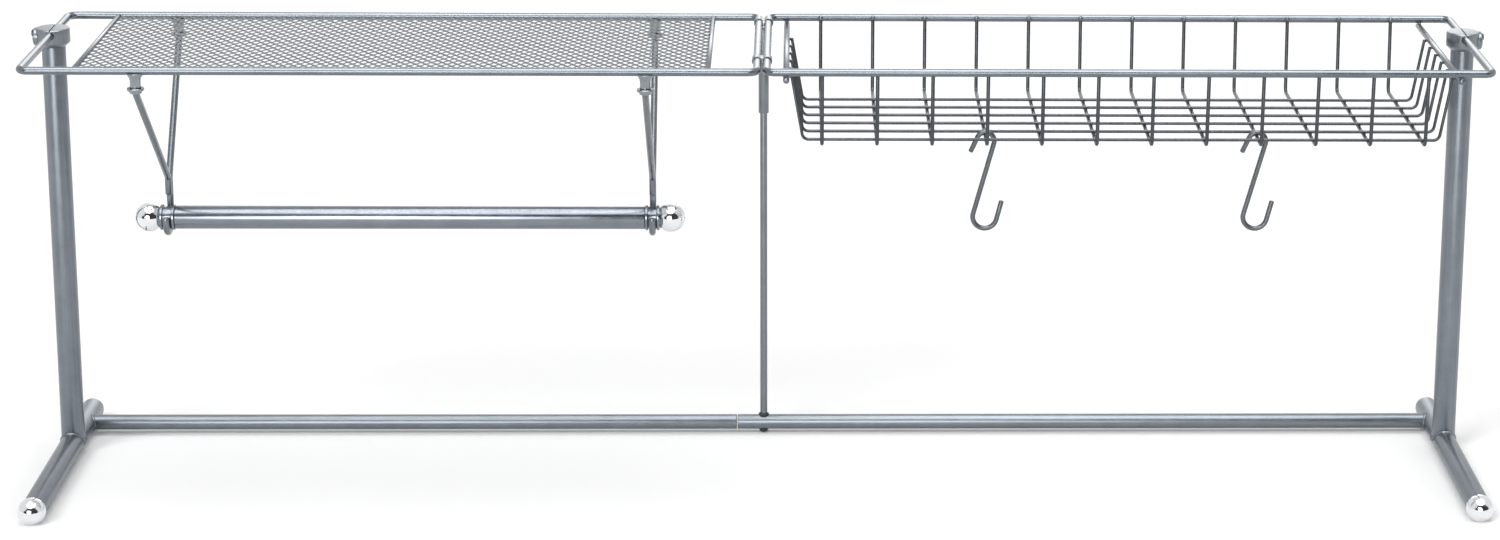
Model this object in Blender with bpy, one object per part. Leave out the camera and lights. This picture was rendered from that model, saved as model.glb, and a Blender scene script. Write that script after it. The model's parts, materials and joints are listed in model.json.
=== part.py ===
"""Over-sink dish rack: two T-shaped tube legs joined by a rail low down and by two wire frames on top.

The left frame carries a mesh shelf with a paper-towel bar hung below it, the right frame a wire basket
with two S-hooks. Metres, +Z up, +X to the right as seen from the front, -Y towards the user.
The origin is on the worktop under the middle of the rack.
"""

import math

import bmesh
import bpy
from mathutils import Matrix, Vector

MM = 0.001
GAP = 0.3 * MM  # between two pieces that touch
OVERRUN = 20 * MM  # how far every cutter runs past what it cuts

# Overall sizes
RACK_WIDTH = 1135 * MM  # between the two legs' axes
WIRE_HEIGHT = 354 * MM  # top frames' wire axis above the worktop
FRAME_DEPTH = 196.4 * MM  # between the front and back frame wires' axes
FRAME_REACH = 131 * MM  # from the legs' axis forward to the front frame wire

# Legs: foot tube, upright, chrome foot ball
LEG_RADIUS = 9.5 * MM
LEG_WALL = 1.2 * MM
FOOT_REACH = 165 * MM  # from the upright's axis forward to the foot ball's centre
FOOT_TAIL = 90.5 * MM  # from the upright's axis back to the tip of the foot's dome
FOOT_BALL_RADIUS = 11 * MM
FOOT_PLUG_LENGTH = 10 * MM

# Caps on the uprights and the screws that clamp the frame wire
CAP_RADIUS = 13.5 * MM
CAP_CHAMFER = 3.5 * MM  # round its lower edge
CAP_ABOVE_WIRE = 4.5 * MM  # cap's top face above the wire's axis
CAP_HEIGHT = 15 * MM
CAP_ROOF = 1.5 * MM  # between the wire slot and the upright's end
LOBE_REACH = 15.2 * MM  # from the upright's axis out to the lobe's end
SCREW_RADIUS = 2 * MM
SCREW_HEAD_RADIUS = 3 * MM
SCREW_HEAD_HEIGHT = 1.2 * MM

# Low rail, in two halves over a joiner, and the support rod in the middle
RAIL_RADIUS = 6.35 * MM
RAIL_WALL = 1.1 * MM
RAIL_INSET = 17.4 * MM  # in front of the back frame wires' axis
RAIL_SEAM = 22 * MM  # from the rod's axis left to where the halves meet
JOINER_LEFT = 70 * MM  # joiner's ends, from the rod's axis
JOINER_RIGHT = 40 * MM
JOINER_WALL = 1.2 * MM
ROD_RADIUS = 3 * MM
SOCKET_WALL = 1 * MM
SOCKET_DROP = 81 * MM  # socket's lower end below the frame wires' axis
SOCKET_PLUG = 4 * MM
GROMMET_RADIUS = 4.4 * MM
GROMMET_HEIGHT = 0.8 * MM  # above the rail
END_CAP_RADIUS = 4.2 * MM
END_CAP_HEIGHT = 2.2 * MM  # below the rail
END_CAP_FLOOR = 0.9 * MM

# Top frames, bent from one wire each, and the clips that hold them side by side
WIRE_RADIUS = 3.175 * MM
FRAME_BEND = 7 * MM
FRAMES_APART = 7.6 * MM  # between the two middle wires' axes
CLIP_WALL = 0.7 * MM
CLIP_LENGTH = 10 * MM
FRONT_CLIP_INSET = 42 * MM  # behind the front frame wire

# Mesh shelf: expanded sheet between two border wires
BORDER_RADIUS = 2 * MM
BORDER_OUTER_INSET = 40.8 * MM  # from the leg's axis
BORDER_INNER_INSET = 37.6 * MM  # from the frame's middle wire
NET_COLUMNS = 20
NET_ROWS = 4
NET_STRAND = 2.4 * MM
NET_THICKNESS = 1.2 * MM

# Wire basket
END_BAR_RADIUS = 2.5 * MM
END_BAR_INNER_INSET = 15.2 * MM  # from the frame's middle wire
END_BAR_OUTER_INSET = 24.5 * MM  # from the leg's axis
BASKET_DEPTH = 60 * MM  # cross wires' bottom below the frame wires
CROSS_RADIUS = 1.5 * MM
CROSS_COUNT = 12
CROSS_MARGINS = (27.8 * MM, 24.8 * MM)  # from the end bars to the nearest cross wires
CROSS_LEAN = 4 * MM  # how far each side of a cross wire leans in
CROSS_BEND = 5 * MM
CROSS_RISE = 1 * MM  # cross wires' ends above the frame wires' axis
LONG_RADIUS = 1.25 * MM
LONG_COUNT = 6
LONG_PITCH = 26.1 * MM
LONG_INSET = 6 * MM  # first long wire behind the cross wires' front corner
LONG_LEAN = 9 * MM
LONG_BEND = 5 * MM

# Paper-towel hangers and bar
HANGER_OUTER_INSET = 88.5 * MM  # left hanger from the leg's axis
HANGER_INNER_INSET = 85.6 * MM  # right hanger from the frame's middle wire
HANGER_RADIUS = 2.75 * MM
HANGER_BEND = 6 * MM
HANGER_DROP = 116.5 * MM  # where strut and leg come together, below the frame wires
HOOK_TIP_RISE = 3 * MM  # hook's tip above the bar's axis
BAR_DROP = 148.2 * MM  # bar's axis below the frame wires
BAR_FORWARD = 17 * MM  # bar's axis in front of the uprights' axis
BAR_RADIUS = 9.5 * MM
BAR_WALL = 1 * MM
BAR_BALL_RADIUS = 12 * MM
COLLAR_GROOVE_RADIUS = 9 * MM
COLLAR_FLANGE_RADIUS = 10.5 * MM
COLLAR_FLANGE_WIDTH = 2.2 * MM
COLLAR_PLAY = 0.8 * MM  # between hook wire and each flange
COLLAR_PLUG_LENGTH = 12 * MM
STUD_RADIUS = 3 * MM
STUD_LENGTH = 9 * MM
STRUT_CLEARANCE = 6.5 * MM  # strut's end above the collar's flange, so the bar lifts out

# Saddle clamps that fix the hangers to the frame wires
CLAMP_LIP_RADIUS = 6.5 * MM
CLAMP_LIP_DROP = 1.5 * MM  # lip below the frame wire's axis
CLAMP_NECK_RADIUS = 4.8 * MM
CLAMP_NECK_DROP = 5.5 * MM
CLAMP_FLANGE_RADIUS = 6.6 * MM
CLAMP_FLANGE_DROP = 13.3 * MM
CLAMP_FLANGE_HEIGHT = 3 * MM
CLAMP_FOOT_HEIGHT = 1.3 * MM
CLAMP_FOOT_RADIUS = 5 * MM
CLAMP_BORE_ROOF = 6.5 * MM  # bore's end below the frame wire's axis
HANGER_FIRST_BEND = 21 * MM  # hanger wires' first corner below the frame wires

# S-hooks
HOOK_RADIUS = 2 * MM
HOOK_TOP_BEND = 7 * MM
HOOK_LOW_BEND = 9.5 * MM
HOOK_LENGTH = 61.5 * MM  # between the two bends' centres
HOOK_OFFSET = 5 * MM  # low bend's centre to the right of the top bend's
HOOK_TOP_TAIL = 13 * MM
HOOK_LOW_TAIL = 16 * MM
HOOK_TOP_FLARE = math.radians(20)  # the tails' slants outward
HOOK_LOW_FLARE = math.radians(10)
HOOK_CROSS_WIRES = (3, 8)  # the cross wires that they hang on, counted from the left
HOOK_INSET = 20 * MM  # behind the front long wire

# Facets
SIDES = 16  # turned pieces
BALL_STEPS = 8
DOME_STEPS = 4
BEND_STEPS = 4
HOOK_STEPS = 10
THICK_WIRE_SIDES = 3  # bevel resolution, ten sides
THIN_WIRE_SIDES = 2  # bevel resolution, eight sides

# Finishes: colour, metallic, roughness
SILVER_PAINT = ((0.35, 0.37, 0.39, 1.0), 0.85, 0.36)
DARK_WIRE = ((0.16, 0.17, 0.18, 1.0), 0.85, 0.4)
CHROME = ((0.85, 0.85, 0.86, 1.0), 1.0, 0.06)
DARK_STEEL = ((0.05, 0.05, 0.055, 1.0), 0.9, 0.45)
BLACK_RUBBER = ((0.02, 0.02, 0.02, 1.0), 0.0, 0.7)

# Places that follow from the sizes
UPRIGHT_Y = (FOOT_REACH + FOOT_BALL_RADIUS - FOOT_TAIL) / 2
FOOT_Z = LEG_RADIUS * math.cos(math.pi / SIDES)
LEG_X = RACK_WIDTH / 2
FRONT_Y = UPRIGHT_Y - FRAME_REACH
BACK_Y = FRONT_Y + FRAME_DEPTH
RAIL_Y = BACK_Y - RAIL_INSET
MIDDLE_X = FRAMES_APART / 2
INNER_FRONT_Y = FRONT_Y + WIRE_RADIUS + GAP
INNER_BACK_Y = BACK_Y - WIRE_RADIUS - GAP
HANGER_X = (-LEG_X + HANGER_OUTER_INSET, -MIDDLE_X - HANGER_INNER_INSET)
BAR_Y = UPRIGHT_Y - BAR_FORWARD
BAR_Z = WIRE_HEIGHT - BAR_DROP
BASKET_X = (MIDDLE_X + END_BAR_INNER_INSET, LEG_X - END_BAR_OUTER_INSET)
SIDE_NAMES = ((-1, "left"), (1, "right"))


def clear_scene():
    for obj in list(bpy.data.objects):
        bpy.data.objects.remove(obj, do_unlink=True)


def finished(obj, look):
    """Gives the object its own metal, paint or rubber."""
    colour, metallic, roughness = look
    material = bpy.data.materials.new(obj.name + "_finish")
    material.use_nodes = True
    shader = material.node_tree.nodes["Principled BSDF"]
    shader.inputs["Base Color"].default_value = colour
    shader.inputs["Metallic"].default_value = metallic
    shader.inputs["Roughness"].default_value = roughness
    material.diffuse_color = colour
    obj.data.materials.append(material)
    bpy.context.scene.collection.objects.link(obj)
    return obj


def helper(obj):
    """Marks a cutter or a piece to be joined, which is no part of the rack by itself."""
    obj.hide_render = True
    obj.display_type = "WIRE"
    return obj


def cut(obj, tool, operation="DIFFERENCE"):
    """Cuts the tool out of the object, or joins it on."""
    modifier = obj.modifiers.new(tool.name, "BOOLEAN")
    modifier.operation = operation
    modifier.solver = "EXACT"
    modifier.object = tool
    helper(tool)


TURNS = {
    "X": (0, math.radians(90), 0),
    "Y": (math.radians(-90), 0, 0),
    "Z": (0, 0, 0),
}


def turned(name, profile, place, axis, look=SILVER_PAINT):
    """A body of revolution about an axis through place.

    The profile is (along, radius) pairs. One that starts and ends at radius 0 is solid between its ends,
    and any other is a closed ring. Flat facets face the world's axes, so bores and shafts line up.
    """
    bm = bmesh.new()
    rings = []
    for along, radius in profile:
        if radius == 0:
            rings.append([bm.verts.new((0, 0, along))])
            continue
        ring = []
        for side in range(SIDES):
            angle = math.tau * (side + 0.5) / SIDES
            ring.append(bm.verts.new((radius * math.cos(angle), radius * math.sin(angle), along)))
        rings.append(ring)
    pairs = list(zip(rings, rings[1:]))
    if len(rings[0]) > 1:
        pairs.append((rings[-1], rings[0]))
    for low, high in pairs:
        for side in range(SIDES):
            after = (side + 1) % SIDES
            if len(low) == 1:
                bm.faces.new((low[0], high[side], high[after]))
            elif len(high) == 1:
                bm.faces.new((low[side], low[after], high[0]))
            else:
                bm.faces.new((low[side], low[after], high[after], high[side]))
    bmesh.ops.recalc_face_normals(bm, faces=bm.faces)
    mesh = bpy.data.meshes.new(name)
    bm.to_mesh(mesh)
    bm.free()
    mesh.shade_smooth()
    mesh.set_sharp_from_angle(angle=math.radians(35))
    obj = bpy.data.objects.new(name, mesh)
    obj.location = place
    obj.rotation_euler = TURNS[axis]
    return finished(obj, look)


def cylinder(start, end, radius):
    """The profile of a plain round bar."""
    return [(start, 0), (start, radius), (end, radius), (end, 0)]


def tube(start, end, radius, wall):
    """The profile of an open tube."""
    return [(start, radius - wall), (start, radius), (end, radius), (end, radius - wall)]


def hole(radius):
    """The radius of a bore whose flat facets still leave GAP round this wire."""
    return (radius + GAP) / math.cos(math.pi / SIDES)


def sphere_arc(radius, first, last, steps):
    """Points of a ball's profile, between two angles from its front pole."""
    points = []
    for step in range(steps + 1):
        angle = first + (last - first) * step / steps
        points.append((-radius * math.cos(angle), radius * math.sin(angle)))
    return points


def prism(name, outline, start, end, look=SILVER_PAINT):
    """An outline of (x, z) pairs, in order round it, extruded along Y."""
    bm = bmesh.new()
    near = [bm.verts.new((x, start, z)) for x, z in outline]
    far = [bm.verts.new((x, end, z)) for x, z in outline]
    bm.faces.new(near)
    bm.faces.new(far)
    for i in range(len(outline)):
        after = (i + 1) % len(outline)
        bm.faces.new((near[i], near[after], far[after], far[i]))
    bmesh.ops.recalc_face_normals(bm, faces=bm.faces)
    mesh = bpy.data.meshes.new(name)
    bm.to_mesh(mesh)
    bm.free()
    return finished(bpy.data.objects.new(name, mesh), look)


def racetrack(half_span, radius):
    """Two half circles about points half_span either side of the middle, joined by straights."""
    outline = []
    for side in (1, -1):
        for step in range(SIDES // 2 + 1):
            angle = math.pi * (step / (SIDES // 2) - 0.5)
            outline.append((side * (half_span + radius * math.cos(angle)), side * radius * math.sin(angle)))
    return outline


def bent(corners, radius, closed=False):
    """A wire's centre line through these corners, each bent to this radius."""
    line = []
    for i, corner in enumerate(corners):
        if not closed and i in (0, len(corners) - 1):
            line.append(corner)
            continue
        back = (corners[i - 1] - corner).normalized()
        ahead = (corners[(i + 1) % len(corners)] - corner).normalized()
        half = back.angle(ahead) / 2
        middle = corner + (back + ahead).normalized() * (radius / math.sin(half))
        start = corner + back * (radius / math.tan(half)) - middle
        end = corner + ahead * (radius / math.tan(half)) - middle
        line += [middle + radius * start.slerp(end, step / BEND_STEPS) for step in range(BEND_STEPS + 1)]
    return line


def arc(centre, radius, first, last):
    """Points of an arc in a plane, between two angles."""
    points = []
    for step in range(HOOK_STEPS + 1):
        angle = first + (last - first) * step / HOOK_STEPS
        points.append(centre + radius * Vector((math.cos(angle), math.sin(angle))))
    return points


def wire(name, line, radius, sides, look=SILVER_PAINT, place=(0, 0, 0), closed=False):
    """A round wire along a centre line given from place."""
    curve = bpy.data.curves.new(name, "CURVE")
    curve.dimensions = "3D"
    curve.bevel_depth = radius
    curve.bevel_resolution = sides
    curve.use_fill_caps = True
    spline = curve.splines.new("POLY")
    spline.points.add(len(line) - 1)
    for point, at in zip(spline.points, line):
        point.co = (*at, 1)
    spline.use_cyclic_u = closed
    obj = bpy.data.objects.new(name, curve)
    obj.location = place
    return finished(obj, look)


def leg(side, name):
    """One leg: a foot tube with a dome behind and a chrome ball in front, and an upright coped onto it."""
    x = side * LEG_X
    ball_y = UPRIGHT_Y - FOOT_REACH
    seat = math.sqrt(FOOT_BALL_RADIUS**2 - LEG_RADIUS**2)  # from the ball's centre to the tube's end
    bore = LEG_RADIUS - LEG_WALL
    front = ball_y + seat + GAP
    dome_y = UPRIGHT_Y + FOOT_TAIL - LEG_RADIUS
    foot = [(dome_y, 0), (dome_y, bore), (front, bore), (front, LEG_RADIUS)]
    for along, radius in sphere_arc(LEG_RADIUS, math.pi / 2, math.pi, DOME_STEPS)[:-1]:
        foot.append((dome_y + along, radius))
    foot.append((dome_y + LEG_RADIUS, 0))
    turned("foot_tube_" + name, foot, (x, 0, FOOT_Z), "Y")

    widest = math.pi - math.asin(LEG_RADIUS / FOOT_BALL_RADIUS)
    ball = [(-FOOT_BALL_RADIUS, 0)]
    ball += sphere_arc(FOOT_BALL_RADIUS, 0, widest, BALL_STEPS)[1:]
    ball += [(seat, bore - GAP), (seat + FOOT_PLUG_LENGTH, bore - GAP), (seat + FOOT_PLUG_LENGTH, 0)]
    foot_ball = turned("foot_ball_" + name, ball, (x, ball_y, FOOT_Z), "Y", CHROME)
    below = [(x - OVERRUN, 0), (x + OVERRUN, 0), (x + OVERRUN, -OVERRUN), (x - OVERRUN, -OVERRUN)]
    cut(foot_ball, prism("worktop_cutter_" + name, below, ball_y - OVERRUN, ball_y + OVERRUN))

    upright_top = WIRE_HEIGHT - hole(WIRE_RADIUS) - CAP_ROOF - GAP
    upright = turned("upright_" + name, tube(FOOT_Z, upright_top, LEG_RADIUS, LEG_WALL), (x, UPRIGHT_Y, 0), "Z")
    cope = cylinder(-FOOT_REACH, FOOT_REACH, LEG_RADIUS + GAP)
    foot_cutter = turned("foot_cutter_" + name, cope, (x, UPRIGHT_Y, FOOT_Z), "Y")
    cut(upright, foot_cutter)
    return foot_cutter


def cap(side, name):
    """The cap on an upright: a round body and a lobe to the outside, slotted for the frame wire."""
    x = side * LEG_X
    top = WIRE_HEIGHT + CAP_ABOVE_WIRE
    bottom = top - CAP_HEIGHT
    middle_z = (top + bottom) / 2
    outline = [(bottom, 0), (bottom, CAP_RADIUS - CAP_CHAMFER), (bottom + CAP_CHAMFER, CAP_RADIUS)]
    outline += [(top, CAP_RADIUS), (top, 0)]
    body = turned("top_cap_" + name, outline, (x, UPRIGHT_Y, 0), "Z")
    lobe_radius = CAP_HEIGHT / 2
    lobe = turned("lobe_" + name, cylinder(0, side * LOBE_REACH, lobe_radius), (x, UPRIGHT_Y, middle_z), "X")
    cut(body, lobe, "UNION")

    slot = hole(WIRE_RADIUS)
    outline = [(x + slot, WIRE_HEIGHT + OVERRUN), (x - slot, WIRE_HEIGHT + OVERRUN)]
    for step in range(SIDES // 2 + 1):
        angle = math.pi * (1 + step / (SIDES // 2))
        outline.append((x + slot * math.cos(angle), WIRE_HEIGHT + slot * math.sin(angle)))
    cut(body, prism("slot_cutter_" + name, outline, UPRIGHT_Y - OVERRUN, UPRIGHT_Y + OVERRUN))

    bore_roof = WIRE_HEIGHT - slot - CAP_ROOF
    bore = cylinder(bottom - OVERRUN, bore_roof, LEG_RADIUS + GAP)
    cut(body, turned("bore_cutter_" + name, bore, (x, UPRIGHT_Y, 0), "Z"))
    screw_bore = cylinder(0, side * (LOBE_REACH + OVERRUN), SCREW_RADIUS + GAP)
    cut(body, turned("screw_cutter_" + name, screw_bore, (x, UPRIGHT_Y, WIRE_HEIGHT), "X"))

    head = side * (LOBE_REACH + GAP)
    head_end = head + side * SCREW_HEAD_HEIGHT
    screw = [(side * slot, 0), (side * slot, SCREW_RADIUS), (head, SCREW_RADIUS), (head, SCREW_HEAD_RADIUS)]
    screw += [(head_end, SCREW_HEAD_RADIUS), (head_end, 0)]
    turned("cap_screw_" + name, screw, (x, UPRIGHT_Y, WIRE_HEIGHT), "X", DARK_STEEL)


def rail(foot_cutters):
    """The low rail: two tubes coped onto the feet and joined by an inner sleeve, which the rod pins."""
    place = (0, RAIL_Y, FOOT_Z)
    left = turned("rail_left", tube(-LEG_X, -RAIL_SEAM - GAP, RAIL_RADIUS, RAIL_WALL), place, "X")
    right = turned("rail_right", tube(-RAIL_SEAM, LEG_X, RAIL_RADIUS, RAIL_WALL), place, "X")
    cut(left, foot_cutters[0])
    cut(right, foot_cutters[1])
    joiner_radius = RAIL_RADIUS - RAIL_WALL - GAP
    joiner = turned("rail_joiner", tube(-JOINER_LEFT, JOINER_RIGHT, joiner_radius, JOINER_WALL), place, "X")
    rod_bore = cylinder(-RAIL_RADIUS - OVERRUN, RAIL_RADIUS + OVERRUN, ROD_RADIUS + GAP)
    rod_cutter = turned("rod_cutter", rod_bore, place, "Z")
    cut(right, rod_cutter)
    cut(joiner, rod_cutter)


def support():
    """The rod in the middle: capped under the rail, up through it and into a socket under the rear clip."""
    rail_solid = cylinder(-CLIP_LENGTH, CLIP_LENGTH, RAIL_RADIUS + GAP)
    rail_cutter = turned("rail_cutter", rail_solid, (0, RAIL_Y, FOOT_Z), "X")
    bore = ROD_RADIUS + GAP
    cap_bottom = FOOT_Z - RAIL_RADIUS - GAP - END_CAP_HEIGHT
    cap_floor = cap_bottom + END_CAP_FLOOR
    end_cap = [(cap_bottom, 0), (cap_bottom, END_CAP_RADIUS), (FOOT_Z, END_CAP_RADIUS), (FOOT_Z, bore)]
    end_cap += [(cap_floor, bore), (cap_floor, 0)]
    cut(turned("rod_end_cap", end_cap, (0, RAIL_Y, 0), "Z", BLACK_RUBBER), rail_cutter)
    grommet_top = FOOT_Z + RAIL_RADIUS + GAP + GROMMET_HEIGHT
    grommet = tube(FOOT_Z, grommet_top, GROMMET_RADIUS, GROMMET_RADIUS - bore)
    cut(turned("rod_grommet", grommet, (0, RAIL_Y, 0), "Z", BLACK_RUBBER), rail_cutter)

    socket_top = WIRE_HEIGHT - hole(WIRE_RADIUS) - CLIP_WALL - GAP
    socket_bottom = WIRE_HEIGHT - SOCKET_DROP
    plug = socket_top - SOCKET_PLUG
    outer = bore + SOCKET_WALL
    socket = [(socket_top, 0), (socket_top, outer), (socket_bottom, outer), (socket_bottom, bore)]
    socket += [(plug, bore), (plug, 0)]
    turned("support_socket", socket, (0, RAIL_Y, 0), "Z")
    turned("support_rod", cylinder(cap_floor + GAP, plug - GAP, ROD_RADIUS), (0, RAIL_Y, 0), "Z")


def frame_wire(name, left, right):
    """One top frame: a rectangle bent from one wire and welded into a loop."""
    corners = [
        Vector((left, FRONT_Y, WIRE_HEIGHT)),
        Vector((right, FRONT_Y, WIRE_HEIGHT)),
        Vector((right, BACK_Y, WIRE_HEIGHT)),
        Vector((left, BACK_Y, WIRE_HEIGHT)),
    ]
    wire(name, bent(corners, FRAME_BEND, closed=True), WIRE_RADIUS, THICK_WIRE_SIDES, closed=True)


def clip(name, y):
    """A flat band round both middle wires."""
    inner = hole(WIRE_RADIUS)
    start = y - CLIP_LENGTH / 2
    end = y + CLIP_LENGTH / 2
    band = prism(name, racetrack(MIDDLE_X, inner + CLIP_WALL), start, end)
    hollow = prism(name + "_cutter", racetrack(MIDDLE_X, inner), start - OVERRUN, end + OVERRUN)
    for piece in (band, hollow):
        piece.location.z = WIRE_HEIGHT
    cut(band, hollow)


def net_holes(width, depth):
    """The outlines of the mesh's gaps: whole diamonds in staggered rows, and half ones along each edge."""
    half_x = width / NET_COLUMNS / 2
    half_y = depth / NET_ROWS / 2
    shrink = 1 - NET_STRAND / 2 * math.hypot(half_x, half_y) / (half_x * half_y)
    tip_x = half_x * shrink
    tip_y = half_y * shrink
    rim_x = half_x - tip_x
    rim_y = half_y - tip_y
    holes = []
    for column in range(2 * NET_COLUMNS + 1):
        for row in range(2 * NET_ROWS + 1):
            x = column * half_x
            y = row * half_y
            on_side = column in (0, 2 * NET_COLUMNS)
            on_front_or_back = row in (0, 2 * NET_ROWS)
            if (column + row) % 2 or (on_side and on_front_or_back):
                continue
            if column % 2 == 0 and on_side:
                inward = 1 if column == 0 else -1
                reach = tip_y * (1 - rim_x / tip_x)
                base = x + inward * rim_x
                holes.append([(base, y - reach), (x + inward * tip_x, y), (base, y + reach)])
            elif on_front_or_back:
                inward = 1 if row == 0 else -1
                reach = tip_x * (1 - rim_y / tip_y)
                base = y + inward * rim_y
                holes.append([(x - reach, base), (x, y + inward * tip_y), (x + reach, base)])
            else:
                holes.append([(x - tip_x, y), (x, y - tip_y), (x + tip_x, y), (x, y + tip_y)])
    return holes


def mesh_panel(left, right):
    """The shelf: a sheet slit and stretched into diamonds, kept coarse here."""
    width = right - left
    depth = INNER_BACK_Y - INNER_FRONT_Y
    edge = [(0, 0), (width, 0), (width, depth), (0, depth)]
    bm = bmesh.new()
    for outline in [edge, *net_holes(width, depth)]:
        corners = [bm.verts.new((x, y, 0)) for x, y in outline]
        for i, corner in enumerate(corners):
            bm.edges.new((corner, corners[(i + 1) % len(corners)]))
    bmesh.ops.triangle_fill(bm, use_beauty=True, edges=bm.edges, normal=(0, 0, 1))
    whole = bmesh.ops.extrude_face_region(bm, geom=bm.faces[:], use_keep_orig=True)
    raised = [item for item in whole["geom"] if isinstance(item, bmesh.types.BMVert)]
    bmesh.ops.translate(bm, verts=raised, vec=(0, 0, NET_THICKNESS))
    bmesh.ops.recalc_face_normals(bm, faces=bm.faces)
    mesh = bpy.data.meshes.new("mesh_panel")
    bm.to_mesh(mesh)
    bm.free()
    panel = bpy.data.objects.new("mesh_panel", mesh)
    panel.location = (left, INNER_FRONT_Y, WIRE_HEIGHT - NET_THICKNESS / 2)
    finished(panel, SILVER_PAINT)


def shelf():
    """The left frame with its border wires and mesh."""
    frame_wire("shelf_frame", -LEG_X, -MIDDLE_X)
    borders = (-LEG_X + BORDER_OUTER_INSET, -MIDDLE_X - BORDER_INNER_INSET)
    for x, (_, name) in zip(borders, SIDE_NAMES):
        rod = cylinder(INNER_FRONT_Y, INNER_BACK_Y, BORDER_RADIUS)
        turned("shelf_border_" + name, rod, (x, 0, WIRE_HEIGHT), "Y")
    edge = BORDER_RADIUS + GAP
    mesh_panel(borders[0] + edge, borders[1] - edge)


def basket():
    """The right frame with the basket hung in it: end bars, U-shaped cross wires and long wires on them."""
    frame_wire("basket_frame", MIDDLE_X, LEG_X)
    bar_z = WIRE_HEIGHT - WIRE_RADIUS - GAP - END_BAR_RADIUS
    for x, (_, name) in zip(BASKET_X, SIDE_NAMES):
        rod = cylinder(FRONT_Y - WIRE_RADIUS, BACK_Y + WIRE_RADIUS, END_BAR_RADIUS)
        turned("basket_end_bar_" + name, rod, (x, 0, bar_z), "Y")

    side_set = WIRE_RADIUS + CROSS_RADIUS + GAP
    floor_z = WIRE_HEIGHT - BASKET_DEPTH
    cross_top = WIRE_HEIGHT + CROSS_RISE
    front = FRONT_Y + side_set
    back = BACK_Y - side_set
    pitch = (BASKET_X[1] - BASKET_X[0] - sum(CROSS_MARGINS)) / (CROSS_COUNT - 1)
    cross_x = [BASKET_X[0] + CROSS_MARGINS[0] + pitch * i for i in range(CROSS_COUNT)]
    for i, x in enumerate(cross_x):
        corners = [
            Vector((x, front, cross_top)),
            Vector((x, front + CROSS_LEAN, floor_z)),
            Vector((x, back - CROSS_LEAN, floor_z)),
            Vector((x, back, cross_top)),
        ]
        wire(f"basket_cross_wire_{i + 1:02}", bent(corners, CROSS_BEND), CROSS_RADIUS, THIN_WIRE_SIDES, DARK_WIRE)

    ends_x = [x + side * (END_BAR_RADIUS + GAP + LONG_RADIUS) for x, side in zip(BASKET_X, (1, -1))]
    long_z = floor_z + CROSS_RADIUS + GAP + LONG_RADIUS
    long_y = [front + CROSS_LEAN + LONG_INSET + LONG_PITCH * i for i in range(LONG_COUNT)]
    for i, y in enumerate(long_y):
        corners = [
            Vector((ends_x[0], y, bar_z)),
            Vector((ends_x[0] + LONG_LEAN, y, long_z)),
            Vector((ends_x[1] - LONG_LEAN, y, long_z)),
            Vector((ends_x[1], y, bar_z)),
        ]
        wire(f"basket_long_wire_{i + 1}", bent(corners, LONG_BEND), LONG_RADIUS, THIN_WIRE_SIDES, DARK_WIRE)
    return cross_x, long_y[0], floor_z


def clamp(name, x, y):
    """A saddle under a frame wire with its flange nut, bored for the hanger wire."""
    neck = WIRE_HEIGHT - CLAMP_NECK_DROP
    flange = WIRE_HEIGHT - CLAMP_FLANGE_DROP
    nut = flange - CLAMP_FLANGE_HEIGHT
    foot = nut - CLAMP_FOOT_HEIGHT
    lip = WIRE_HEIGHT - CLAMP_LIP_DROP
    roof = WIRE_HEIGHT - CLAMP_BORE_ROOF
    bore = hole(HANGER_RADIUS)
    profile = [(lip, 0), (lip, CLAMP_LIP_RADIUS), (neck, CLAMP_NECK_RADIUS), (flange, CLAMP_NECK_RADIUS)]
    profile += [(flange, CLAMP_FLANGE_RADIUS), (nut, CLAMP_FLANGE_RADIUS), (foot, CLAMP_FOOT_RADIUS)]
    profile += [(foot, bore), (roof, bore), (roof, 0)]
    body = turned(name, profile, (x, y, 0), "Z")
    groove = cylinder(-OVERRUN, OVERRUN, hole(WIRE_RADIUS))
    cut(body, turned(name + "_cutter", groove, (x, y, WIRE_HEIGHT), "X"))


def hanger(x, name):
    """One hanger: a leg from the back wire that ends in the bar's hook, and a strut from the front wire."""
    clamp("hanger_clamp_front_" + name, x, FRONT_Y)
    clamp("hanger_clamp_back_" + name, x, BACK_Y)
    hook_radius = COLLAR_GROOVE_RADIUS + GAP + HANGER_RADIUS
    leg_y = BAR_Y + hook_radius
    strut_y = leg_y - 2 * HANGER_RADIUS - GAP
    top = WIRE_HEIGHT - CLAMP_BORE_ROOF - GAP
    first = WIRE_HEIGHT - HANGER_FIRST_BEND
    meet = WIRE_HEIGHT - HANGER_DROP
    corners = [Vector((x, y, z)) for y, z in ((BACK_Y, top), (BACK_Y, first), (leg_y, meet), (leg_y, BAR_Z))]
    line = bent(corners, HANGER_BEND)
    hook = arc(Vector((BAR_Y, BAR_Z)), hook_radius, 0, -math.pi)
    line[-1:] = [Vector((x, *point)) for point in hook]
    line.append(line[-1] + Vector((0, 0, HOOK_TIP_RISE)))
    wire("hanger_leg_" + name, line, HANGER_RADIUS, THIN_WIRE_SIDES)

    end = BAR_Z + COLLAR_FLANGE_RADIUS + STRUT_CLEARANCE
    corners = [Vector((x, y, z)) for y, z in ((FRONT_Y, top), (FRONT_Y, first), (strut_y, meet), (strut_y, end))]
    wire("hanger_strut_" + name, bent(corners, HANGER_BEND), HANGER_RADIUS, THIN_WIRE_SIDES)


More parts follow.
